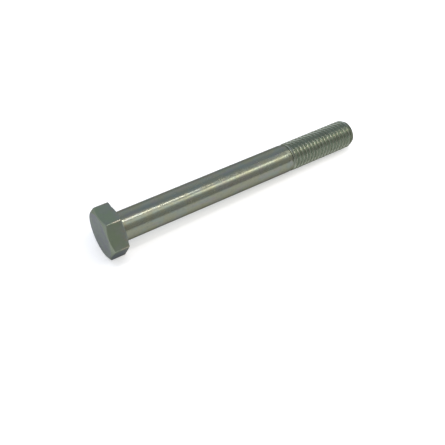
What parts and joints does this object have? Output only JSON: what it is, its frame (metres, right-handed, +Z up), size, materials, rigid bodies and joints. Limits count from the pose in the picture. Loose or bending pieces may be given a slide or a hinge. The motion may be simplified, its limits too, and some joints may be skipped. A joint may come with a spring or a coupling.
{
  "type": "hex bolt",
  "caption": "Hexagon-head bolt with a chamfered head, a bearing ring and fillet under it, a plain shank, a rolled right-hand thread and a chamfered end.",
  "frame": {"origin": "centre of the bearing face under the head, on the bolt's axis", "axes": "+X along the bolt's axis from the head to the threaded end; +Z up with a flat of the hexagon facing up; +Y completes the right-handed frame"},
  "size_m": [0.1175, 0.0214, 0.0188],
  "materials": {
    "forged_head": "zinc-plated cold-forged steel, matte olive grey",
    "drawn_shank": "zinc-plated drawn steel, semi-bright with fine lengthwise lines",
    "rolled_thread": "zinc-plated rolled thread, satin with bright crests"
  },
  "bodies": {
    "root": {"head": "forged_head", "washer_face": "forged_head", "head_fillet": "forged_head", "plain_shank": "drawn_shank", "thread_runout": "drawn_shank", "thread": "rolled_thread", "chamfered_point": "rolled_thread"}
  },
  "joints": []
}
